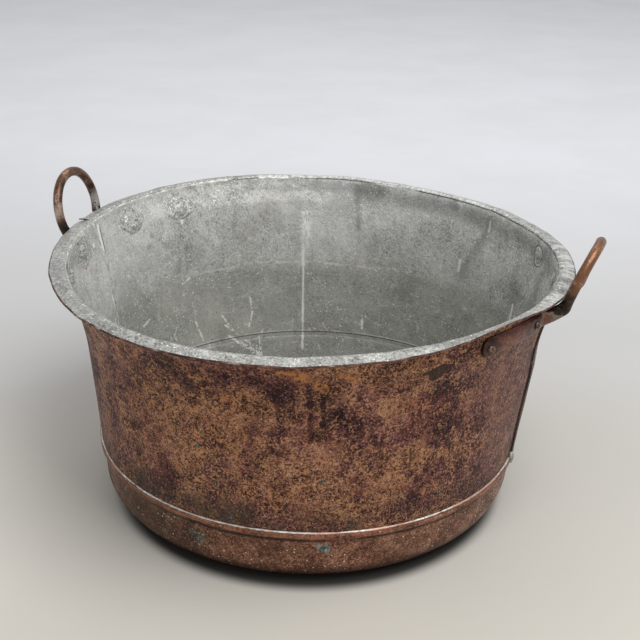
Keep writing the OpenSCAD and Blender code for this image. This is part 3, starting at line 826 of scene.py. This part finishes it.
def handle_copper(name, side=None):
    n = Nodes(name)
    cloud = n.noise(24, 6, 0.62, distort=0.4)
    small = n.noise(110, 5, 0.65)
    grain = n.noise(330, 4, 0.7)
    value = n.minus(n.weigh((cloud, 0.7), (small, 0.45), (grain, 0.35)), 0.25)
    n.tone = n.ramp(value, "32:221713 42:432e24 52:644635 62:856048 74:ab8b70")
    worn = n.by(n.span(n.noise(48, 5, 0.65), 0.55, 0.66), n.span(grain, 0.42, 0.58))
    n.coat(worn, "cbb5a0", 0.75)
    if side == "right":
        n.coat(n.span(n.plus(n.z, n.by(cloud, 0.03)), 0.352, 0.372, 0, 0.42), "99694b")
    if side is None:
        n.coat(0.45, "2a1b15")
        n.coat(n.span(n.noise(150, 4, 0.65), 0.5, 0.58), "ab9a82", 0.55)
    if side is not None:
        s = 1 if side == "right" else -1
        near = (s * 0.3545, -KNUCKLE_Y, FOOT_TOP + 0.008)
        far = (s * 0.3545, KNUCKLE_Y, FOOT_TOP + 0.008)
        out = (s * 0.343, -KNUCKLE_Y - 0.012, FOOT_TOP - 0.006)
        black = n.either(
            n.spot(near, 0.032, 0.7, 0.25), n.spot(far, 0.016 if s < 0 else 0.026, 0.8, 0.25),
            n.spot(out, 0.026, 0.6, 0.25))
        n.coat(black, "201a16", 0.86)
        if side == "left":
            base = n.spot((far[0], far[1], FOOT_TOP + 0.026), 0.02, 0.7, 0.3)
            n.coat(n.by(base, n.span(small, 0.38, 0.5)), "a9a7a0")
        foot = n.span(n.plus(n.z, n.by(small, 0.006)), FOOT_TOP + 0.005, FOOT_TOP - 0.001)
        inward = n.span(n.by(n.x, s), 0.3385, 0.33)
        flat = n.by(foot, inward)
        like_wall = n.ramp(
            n.weigh((cloud, 0.3), (small, 0.35), (grain, 0.35)), "36:2e1c1b 46:4d302b 54:6e4437 63:926350")
        n.coat(flat, like_wall)
        end = n.either(
            n.spot((s * 0.285, -0.172, FOOT_MID), 0.034, 0.6, 0.3),
            n.spot((s * 0.285, 0.172, FOOT_MID), 0.034, 0.6, 0.3))
        n.coat(end, "241815", 0.8)
        turn = 0 if s > 0 else 180
        under = n.either(
            *[n.spot(place(turn + a, FOOT_MID), 0.015, 0.5, 0.4) for a in (-RIVET_A1, RIVET_A1)])
        n.coat(under, "1f1512", 0.7)
        if side == "left":
            # painted highlight on the near limb of the left loop
            limb_highlight = n.spot((-0.36, -0.052, 0.356), 0.017, 0.8, 0.4)
            n.coat(n.by(limb_highlight, n.span(small, 0.36, 0.5, 0.2, 0.75)), "d8bfb0")
        tinned = n.by(n.spot((s * 0.338, -0.058, 0.318), 0.018, 0.5, 0.4), n.span(small, 0.46, 0.58))
        n.coat(tinned, "8f8a7c", 0.7)
    rough = n.span(value, 0.35, 0.68, 0.42, 0.24)
    height = n.weigh((small, 1), (cloud, 0.7), (grain, 0.3))
    normal = n.bump(height, 0.001, 0.55)
    return n.set(metal=0.62, rough=rough, normal=normal, specular=0.5)


def floor_paint():
    n = Nodes("studio_floor")
    away = n.plus(n.by(n.x, -math.sin(PHOTO_TURN)), n.by(n.y, math.cos(PHOTO_TURN)))
    # the floor's tone changes with distance from the viewer, partly as painted light making up for the
    # lamps' falloff
    n.tone = n.ramp(n.span(away, -1.2, 2.4), "00:d8d3c6 22:cbc8c0 45:c6c6c5 90:e4e5e9")
    n.coat(n.patch(3, 0.35, 0.65, 0, 0.1), "bdbbb3")
    # painted light: a paler patch on the floor to the left, lifting the shadow there
    off = n.vector("DISTANCE", n.coords, photo_side(-0.44, -0.12, 0))
    n.coat(n.span(off, 0.34, 0.04, 0, 0.55), "e6e3da")
    # painted shadow: a faint darker patch on the floor to the right
    off = n.vector("DISTANCE", n.coords, photo_side(0.47, 0.1, 0))
    n.coat(n.span(off, 0.3, 0.05, 0, 0.14), "a8a59c")
    # painted shadow: the floor dark under the pan and just round its foot
    off = n.vector("DISTANCE", n.coords, photo_side(0, -0.028, 0))
    n.coat(n.span(off, 0.279, 0.255, 0, 0.93), "15120f")
    return n.set(metal=0, rough=0.75, specular=0.2)


COPPER = wall_copper()
PAN_COPPER = pan_copper()
TIN = inner_tin()
LIP_TIN = lip_tin()
CREASE = crease_tin()
RIM_EDGE = rim_edge()
LUMP = solder("solder_lump", "b9b7ac", "85837a", "46443d", 0.5, 0.0016)
BEAD = solder("solder_bead", "efeee8", "d8d6cc", "9a978a", foot=SEAM_Z + 0.0010)
TIN_RUN = solder("tin_run", "e2e2de", "c2c2bd", "84847f", 0.30, 0.0010)
TIN_WIPE = foil()
HANDLES = {side: handle_copper("copper_handle_" + side, side) for side in ("right", "left")}
RIVET = handle_copper("copper_rivet")


def settle(obj, slot, *nodes):
    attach(obj, "root")
    if nodes:
        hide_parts(*nodes)
    return obj


# ---- wall sheets and pan ----
def sheet(name, node, turn, curl):
    """half of the wall with its lip; its tab steps out over the other half, and its far corner curls up"""
    tab = [-LAP, -LAP + 0.06, -LAP + 0.16, -LAP + 0.3]
    tab += list(np.linspace(-LAP + 0.6, LAP + BUTT - 0.001, 9))
    far = 180 + LAP
    angles = tab + list(np.arange(LAP + BUTT, far - 0.35, 0.8)) + [far - 0.2, far - 0.08, far]
    ends = [0.35, 0.7, 0.9] + [1] * (len(angles) - 5) + [0.85, 0.4]
    rows = len(wall_line(FOOT_Z))
    tip = np.ones(rows)
    tip[-4:] = [0.92, 0.72, 0.45, 0.18]
    outer, inner = [], []
    for a, end in zip(angles, ends):
        step = smooth((LAP + JOGGLE - a) / JOGGLE)
        above = FILLET + BAND_H + SEAT if a < LAP + BUTT + 0.3 else 0
        line = wall_line(FOOT_Z + SEAT + above)
        nrm = normals(line)
        out = (SHEET + SEAT) * step
        deep = SEAT if a < LAP + BUTT else -SHEET
        half = (out - deep) / 2 * tip * end
        mid = (out + deep) / 2
        angle = math.radians(a + turn)
        line[:, 1] += curl * smooth((a - far + 2.4) / 2.4) * smooth((line[:, 0] - NECK_R - 0.002) / 0.012)
        outer.append(turned(line + nrm * (mid + half)[:, None], angle))
        inner.append(turned(line + nrm * (mid - half)[:, None], angle))
    verts, faces, kinds = strip_shell(np.array(outer), np.array(inner), False)
    lip_from = CONE_ROWS + FLARE_ROWS + TURN_ROWS
    skin = [1] * (lip_from - 2) + [3] * 2 + [2] * (rows - 5 - lip_from) + [4] * 4
    material = []
    for index, kind in enumerate(kinds):
        if kind == 1:
            material.append(skin[index % (rows - 1)])
        else:
            material.append(1 if kind == 2 and index % 2 else 0)
    obj = make_object(name, verts, faces, [COPPER, TIN, LIP_TIN, CREASE, RIM_EDGE], material)
    return settle(obj, "copper_wall", node)


def pan():
    """the raised pan with its rounded corner, its slightly uneven floor and the band round its top"""
    low = cone_r(FOOT_Z) + SEAT
    top = cone_r(SEAM_Z) + SEAT
    band = top + SHEET
    first_out = [(band - 0.0003, SEAM_Z), (band, SEAM_Z - 0.0007), (band, FOOT_Z + 0.0014),
                 (band - 0.0009, FOOT_Z + 0.0001), (PAN_R + 0.0010, FOOT_Z - 0.0008),
                 (PAN_R, FOOT_Z - 0.0026)]
    first_in = [(top, SEAM_Z), (top, SEAM_Z - 0.0007), (low, FOOT_Z + 0.0014), (low, FOOT_Z),
                (PAN_R - SHEET + 0.0008, FOOT_Z), (PAN_R - SHEET, FOOT_Z - 0.0012)]
    z = np.linspace(FOOT_Z - 0.006, CORNER_R, 9)
    run = np.stack([PAN_FOOT_R + (PAN_R - PAN_FOOT_R) * (z - CORNER_R) / (FOOT_Z - CORNER_R), z], 1)
    a = np.radians(np.linspace(0, -90, 19)[1:])
    arc = np.stack([PAN_FOOT_R - CORNER_R + CORNER_R * np.cos(a), CORNER_R + CORNER_R * np.sin(a)], 1)
    flat = np.stack([np.linspace(PAN_FOOT_R - CORNER_R, 0.001, 22)[1:], np.zeros(21)], 1)
    rest = np.concatenate([run, arc, flat])
    nrm = normals(np.concatenate([[first_out[-1]], rest]))[1:]
    angles = np.radians(np.arange(0, 360, 1.0))
    outer = np.array([turned(np.concatenate([first_out, rest]), v) for v in angles])
    inner = np.array([turned(np.concatenate([first_in, rest + nrm * SHEET]), v) for v in angles])
    floor_in = inner.reshape(-1, 3)
    centre = smooth((0.27 - np.hypot(floor_in[:, 0], floor_in[:, 1])) / 0.05) * (floor_in[:, 2] < 0.03)
    floor_in[:, 2] += (0.0010 + 0.0014 * noise_at(floor_in, (9, 9, 0), 2.0)) * centre
    verts, faces, kinds = strip_shell(outer[:, ::-1], floor_in.reshape(outer.shape)[:, ::-1], True)
    tinned = [1 if kind == 1 else 0 for kind in kinds]
    obj = make_object("pan_shell", verts, faces, [PAN_COPPER, TIN], tinned)
    return settle(obj, "copper_pan", "bottom_pan")


# ---- solder ----
def solder_ring():
    """the fillet on the pan's band, a little higher and lower on its way round"""
    angles = np.radians(np.arange(0, 360, 0.75))
    spots = np.stack([np.cos(angles), np.sin(angles), angles * 0], 1)
    size = 0.9 + 0.30 * noise_at(spots, (14, 14, 0), 4.0) + 0.22 * noise_at(spots, (60, 60, 0), 9.0)
    z0 = SEAM_Z + SEAT
    r = cone_r(z0) + SEAT
    rows = []
    for angle, k in zip(angles, size):
        h = FILLET * min(1.0, max(0.6, k))
        w = SHEET * min(1.05, max(0.75, k + 0.1))
        ring = [(r, z0), (r + w * 0.9, z0), (r + w, z0 + h * 0.25), (r + w * 0.8, z0 + h * 0.62),
                (r + w * 0.4, z0 + h * 0.9), (r + 0.0003, z0 + h), (r, z0 + h * 0.9), (r, z0)]
        rows.append(turned(np.array(ring), angle))
    faces = grid_faces(len(angles), len(ring), 0, True, True)
    obj = make_object("pan_solder_bead", np.concatenate(rows), faces, [BEAD])
    return settle(obj, "solder", "seam_solder_ring")


def lap_run(name, node, turn):
    """solder run down the inner line of a side seam, in beads, from under the lip to the pan"""
    line = wall_line(SEAM_Z, 31)[:66]
    nrm = normals(line)
    s = np.linspace(0, 1, len(line))
    thick = 1.25 + 0.7 * smooth((line[:, 1] - 0.25) / 0.06) * (1 if turn else 0.3)
    along = np.stack([s * 30, s * 0, s * 0 + turn], 1)
    beads = 0.55 + 0.9 * np.abs(noise_at(along, (1.7, 1, 1), 2.0))
    beads += 0.4 * noise_at(along, (0.5, 1, 1), 6.0)
    width = 0.0021 * (0.75 + 0.5 * np.abs(noise_at(along, (1.2, 1, 1), 7.0)))
    drift = 0.0012 * noise_at(along, (0.4, 1, 1), 11.0)
    top, low = [], []
    for c in np.linspace(-1, 1, 9):
        high = 0.0009 * thick * np.clip(beads, 0.25, 1.25) * (1 - c * c)
        for rows, lift in ((low, high * 0), (top, high)):
            p = line - nrm * (SHEET + SEAT + lift)[:, None]
            rows.append(turned(p, math.radians(LAP + turn) + (c * width * thick + drift) / p[:, 0]))
    verts, faces, _ = strip_shell(np.array(low), np.array(top), False)
    obj = make_object(name, verts, faces, [TIN_RUN])
    return settle(obj, "solder", node)


def blob(name, node, turn):
    """a rough lump of solder where a side seam meets the pan's band"""
    a = math.radians(turn - LAP)
    r = cone_r(SEAM_Z) + 0.0024
    verts = []
    rings, spokes = 14, 24
    for i in range(rings + 1):
        v = math.pi * i / rings
        for j in range(spokes):
            u = 2 * math.pi * j / spokes
            d = Vector((math.sin(v) * math.cos(u), math.sin(v) * math.sin(u), math.cos(v)))
            k = 1 + 0.22 * noise.noise(d * 1.7 + Vector((3, 1, 8)))
            out, along, up = d.x * 0.0042 * k, d.y * 0.0058 * k, d.z * 0.0092 * k
            verts.append(cyl(a + (along + 0.0008) / r, r + out, SEAM_Z + 0.0008 + up))
    obj = make_object(name, verts, tube_faces(rings + 1, spokes, True), [LUMP], None, 180)
    return settle(obj, "solder", node)


# ---- rivets, roves and tin wipes ----
def on_wall(th, z, stand):
    """a point that stands off the wall's outer face, along the wall's own tilt"""
    return cyl(th, wall_r(z) + stand * TILT_COS, z - stand * TILT_SIN)


def rivet_frame(a):
    """a rivet's place on the wall and its axes: outward, sideways and up along the wall"""
    th = math.radians(a)
    out = Vector((math.cos(th) * TILT_COS, math.sin(th) * TILT_COS, -TILT_SIN))
    side = Vector((-math.sin(th), math.cos(th), 0))
    return Vector(cyl(th, wall_r(FOOT_MID), FOOT_MID)), out, side, out.cross(side)


def turned_piece(name, node, a, profile, slot, materials, dents, seed, tinned=0):
    """a slightly dented round piece on a rivet's axis; its first rows and inner end can be tinned"""
    base, out, side, up = rivet_frame(a)
    spokes = 32
    verts = []
    for r, h in profile:
        for j in range(spokes):
            u = 2 * math.pi * j / spokes
            x, y = math.cos(u), math.sin(u)
            k = 1 + dents * noise.noise(Vector((x * 1.3, y * 1.3, h * 300 + seed)))
            lift = dents * 0.0016 * noise.noise(Vector((r * 260 * x, r * 260 * y, seed)))
            verts.append(tuple(base + out * (h + lift) + (side * x + up * y) * (r * k)))
    faces = tube_faces(len(profile), spokes)
    faces.append(tuple(range(spokes))[::-1])
    faces.append(tuple(range(len(verts) - spokes, len(verts))))
    kinds = [1 if index < tinned * spokes else 0 for index in range(len(faces))]
    kinds[-2] = 1 if tinned else 0
    obj = make_object(name, verts, faces, materials, kinds, 50)
    return settle(obj, slot, node)


def dome(radius, height, at):
    angles = np.radians(np.linspace(0, 88, 10))
    return [(radius * math.cos(v), at + height * math.sin(v)) for v in angles]


def rivet_piece(name, node, a, seed):
    low = -ROVE_STAND - ROVE_T - SEAT
    tail = dome(TAIL_R, -TAIL_H, low)[::-1]
    profile = tail + [(SHANK_R, low), (SHANK_R, HEAD_STAND)] + dome(HEAD_R, HEAD_H, HEAD_STAND)
    return turned_piece(name, node, a, profile, "rivet_copper", [RIVET, TIN_WIPE], 0.10, seed, len(tail))


def rove_piece(name, node, a, seed):
    z0 = -ROVE_STAND
    profile = [(0.0042, z0), (0.0116, z0), (ROVE_R, z0 - 0.0004), (0.0117, z0 - 0.0010),
               (0.0105, z0 - 0.0015), (0.0078, z0 - ROVE_T), (0.0042, z0 - ROVE_T)]
    return turned_piece(name, node, a, profile, "tinned_rove", [TIN_WIPE], 0.06, seed)


def tin_wipe(name, a, wide, tall, seed):
    """rough tin wiped over a rivet's inner end, thinning out onto the lining"""
    rings, spokes = 22, 60
    top, low = [], []
    for j in range(spokes):
        u = 2 * math.pi * j / spokes
        x, y = math.cos(u), math.sin(u)
        reach = 1 + 0.22 * noise.noise(Vector((x * 1.6, y * 1.6, seed)))
        top.append([])
        low.append([])
        for i in range(rings):
            q = max(0.02, i / (rings - 1))
            dx, dz = wide * reach * q * x, tall * reach * q * y
            rough = noise.noise(Vector((dx * 330, dz * 330, seed)))
            rough += 0.6 * noise.noise(Vector((dx * 800, dz * 800, seed)))
            high = 0.0011 + 0.0034 * float(smooth((0.0140 - math.hypot(dx, dz)) / 0.007)) + 0.0012 * rough
            high = max(0.0001, high) * float(smooth((1 - q) / 0.22))
            z = FOOT_MID + dz * TILT_COS
            th = math.radians(a) + dx / wall_r(z)
            top[-1].append(on_wall(th, z, -SHEET - high))
            low[-1].append(on_wall(th, z, -SHEET + 0.0006))
    verts, faces, _ = strip_shell(np.array(low), np.array(top), True)
    obj = make_object(name, verts, faces, [TIN_WIPE], None, 180)
    return settle(obj, "solder")


# ---- handles ----
def superellipse(w, h, power, count=32):
    points = []
    for j in range(count):
        u = 2 * math.pi * j / count
        c, s = math.cos(u), math.sin(u)
        across = math.copysign(abs(c) ** (2 / power), c)
        points.append((w * across, h * math.copysign(abs(s) ** (2 / power), s)))
    return points


def quad_bend(a, corner, b, n):
    return [a * (1 - t) ** 2 + corner * 2 * t * (1 - t) + b * t * t for t in np.linspace(0, 1, n)]


def foot_sections():
    """sections of the flat foot along the wall, from its round end to the bend"""
    sections = []
    end = RIVET_A2 + math.degrees(math.asin(FOOT_H / 2 / wall_r(FOOT_MID)))
    angles = list(np.linspace(end - 0.02, RIVET_A2, 12))
    angles += list(np.arange(RIVET_A2 - 1, FOOT_A0 - 0.01, -0.8)) + [FOOT_A0]
    for a in angles:
        over = max(0.0, math.radians(a - RIVET_A2) * wall_r(FOOT_MID))
        w = math.sqrt(max(1e-7, (FOOT_H / 2) ** 2 - over ** 2))
        row = []
        for p, q in superellipse(w, FOOT_T / 2, 5.0):
            edge = 1 - 0.55 * float(smooth((abs(p) / (FOOT_H / 2) - 0.72) / 0.28))
            stand = SEAT + (FOOT_T / 2 + q) * edge
            row.append(Vector(on_wall(math.radians(a), FOOT_MID + p * TILT_COS, stand)))
        sections.append(row)
    return sections


def bar_path(lean, start, way):
    """the bar's middle line from the foot over both bends to the loop's crown, and where the foot ends"""
    base = Vector((stand_r(lean), 0, FOOT_TOP))
    knuckle = base + Vector((0, KNUCKLE_Y, 0))
    tilt = Matrix.Rotation(math.radians(lean), 3, "Y")
    loop = []
    for v in np.linspace(-math.asin(LOOP_RISE / LOOP_R), math.pi / 2, 40):
        loop.append(base + tilt @ Vector((0, LOOP_R * math.cos(v), LOOP_RISE + LOOP_R * math.sin(v))))
    turn_in = start + way * 0.008
    way_in = (knuckle - turn_in).normalized()
    path = quad_bend(start, turn_in, turn_in + way_in * 0.009, 6)[1:]
    stop = knuckle - way_in * 0.008
    path += [path[-1].lerp(stop, t) for t in (0.33, 0.66)]
    path += quad_bend(stop, knuckle, loop[4], 9)
    return path + loop[5:], (stop - start).length + 0.004


def half_handle(lean):
    """sections from the foot's round end to the crown of the loop, for the +Y half"""
    sections = foot_sections()
    th = math.radians(FOOT_A0)
    before = Vector((math.sin(th), -math.cos(th), 0))
    path, fade = bar_path(lean, Vector(on_wall(th, FOOT_MID, SEAT + FOOT_T / 2)), before)
    wide = Vector(cyl(th, TILT_SIN, TILT_COS)).normalized()
    length = 0.0
    for index, p in enumerate(path):
        last = index == len(path) - 1
        length += (p - path[index - 1]).length if index else 0
        after = (path[index + (not last)] - path[max(index - 1, 0)]).normalized()
        if last:
            after = Vector((0, -1, 0))
        wide = before.rotation_difference(after) @ wide
        wide = (wide - after * wide.dot(after)).normalized()
        thick = wide.cross(after)
        before = after
        k = float(smooth(length / fade))
        size = 1 + 0.10 * math.exp(-((length - fade) / 0.010) ** 2)
        size *= 1 + 0.030 * noise.noise(Vector((length * 55, lean, 1)))
        w = (FOOT_H / 2 * (1 - k) + BAR_R * k) * size
        h = (FOOT_T / 2 * (1 - k) + BAR_R * k) * size
        section = [p + wide * x + thick * y for x, y in superellipse(w, h, 5 - 3 * k)]
        if last:
            section = [Vector((v.x, 0, v.z)) for v in section]
        sections.append(section)
    return sections


def handle_piece(name, node, side):
    """a half handle and its mirror image, which share the section at the loop's crown"""
    sections = half_handle(LEANS[side])
    spokes = len(sections[0])
    half = np.array([[tuple(v) for v in row] for row in sections]).reshape(-1, 3)
    verts = np.concatenate([half, half[:-spokes] * [1, -1, 1]])
    shift = len(half)
    faces = tube_faces(len(sections), spokes)
    for quad in tube_faces(len(sections), spokes, True):
        faces.append(tuple(v if v >= shift - spokes else v + shift for v in quad))
    faces.append(tuple(range(spokes))[::-1])
    faces.append(tuple(range(shift, shift + spokes)))
    if side == "left":
        verts = verts * [-1, -1, 1]
    obj = make_object(name, verts, faces, [HANDLES[side]], None, 60)
    return settle(obj, "handle_copper", node)


# ---- build ----
sheet("back_sheet", "back_wall", 0.0, 0.0040)
sheet("front_sheet", "front_wall", 180.0, 0.0008)
pan()
solder_ring()
lap_run("lap_run_right", "side_solder_right", 0.0)
lap_run("lap_run_left", "side_solder_left", 180.0)
blob("corner_blob_right", "corner_solder_right", 0.0)
blob("corner_blob_left", "corner_solder_left", 180.0)
handle_piece("handle_bar_right", "handle_right", "right")
handle_piece("handle_bar_left", "handle_left", "left")
PLACES = {
    "right_1": -RIVET_A2, "right_2": -RIVET_A1, "right_3": RIVET_A1, "right_4": RIVET_A2,
    "left_1": 180 - RIVET_A2, "left_2": 180 - RIVET_A1, "left_3": 180 + RIVET_A1, "left_4": 180 + RIVET_A2}
for number, (which, angle) in enumerate(PLACES.items()):
    rivet_piece("rivet_head_" + which, "rivet_" + which, angle, number * 3.7)
    rove_piece("rove_disc_" + which, "rove_" + which, angle, number * 2.3)
    if which.startswith("left"):
        wide, tall = ((0.027, 0.019), (0.025, 0.019), (0.032, 0.022), (0.034, 0.025))[number % 4]
        tin_wipe("tin_wipe_" + which, angle, wide, tall, number * 5.1)


# ---- floor, lamps, camera ----
def floor():
    s = FLOOR_REACH
    corners = [(-s, -s, 0), (s, -s, 0), (s, s, 0), (-s, s, 0)]
    obj = make_object("studio_floor", corners, [(0, 1, 2, 3)], [floor_paint()], bent=False)


def lamp(name, at, aim, size, power):
    data = bpy.data.lights.new(name, "AREA")
    data.shape = "RECTANGLE"
    data.size, data.size_y = size
    data.energy = power
    obj = bpy.data.objects.new(name, data)
    obj.location = at
    obj.rotation_euler = (Vector(aim) - Vector(at)).to_track_quat("-Z", "Y").to_euler()
    bpy.context.scene.collection.objects.link(obj)


def camera():
    """the photograph's view: pitched down, with a small roll"""
    right = Vector(photo_side(1, 0, 0))
    ahead = Vector(photo_side(0, math.cos(PHOTO_PITCH), -math.sin(PHOTO_PITCH)))
    up = Vector(photo_side(0, math.sin(PHOTO_PITCH), math.cos(PHOTO_PITCH)))
    right2 = right * math.cos(PHOTO_ROLL) - up * math.sin(PHOTO_ROLL)
    up2 = right * math.sin(PHOTO_ROLL) + up * math.cos(PHOTO_ROLL)
    data = bpy.data.cameras.new("photo_camera")
    data.sensor_width = 36.0
    data.lens = data.sensor_width * PHOTO_FOCAL / PHOTO_WIDTH
    obj = bpy.data.objects.new("photo_camera", data)
    turn = Matrix((right2, up2, -ahead)).transposed().to_4x4()
    obj.matrix_world = Matrix.Translation(Vector(photo_side(*PHOTO_EYE))) @ turn
    bpy.context.scene.collection.objects.link(obj)
    bpy.context.scene.camera = obj


floor()
lamp("overhead", photo_side(1.2, -1.2, 3.3), (0, 0, 0.2), (2.2, 2.2), 84)
lamp("far_panel", photo_side(0.2, 2.6, 3.2), photo_side(0.2, 2.8, 0), (3.0, 2.0), 26)
camera()
world = bpy.data.worlds.new("studio")
bpy.context.scene.world = world
world.use_nodes = True
world.node_tree.nodes["Background"].inputs[0].default_value = colour("f4f4f6")
world.node_tree.nodes["Background"].inputs[1].default_value = 0.62
bpy.context.scene.view_settings.view_transform = "Standard"
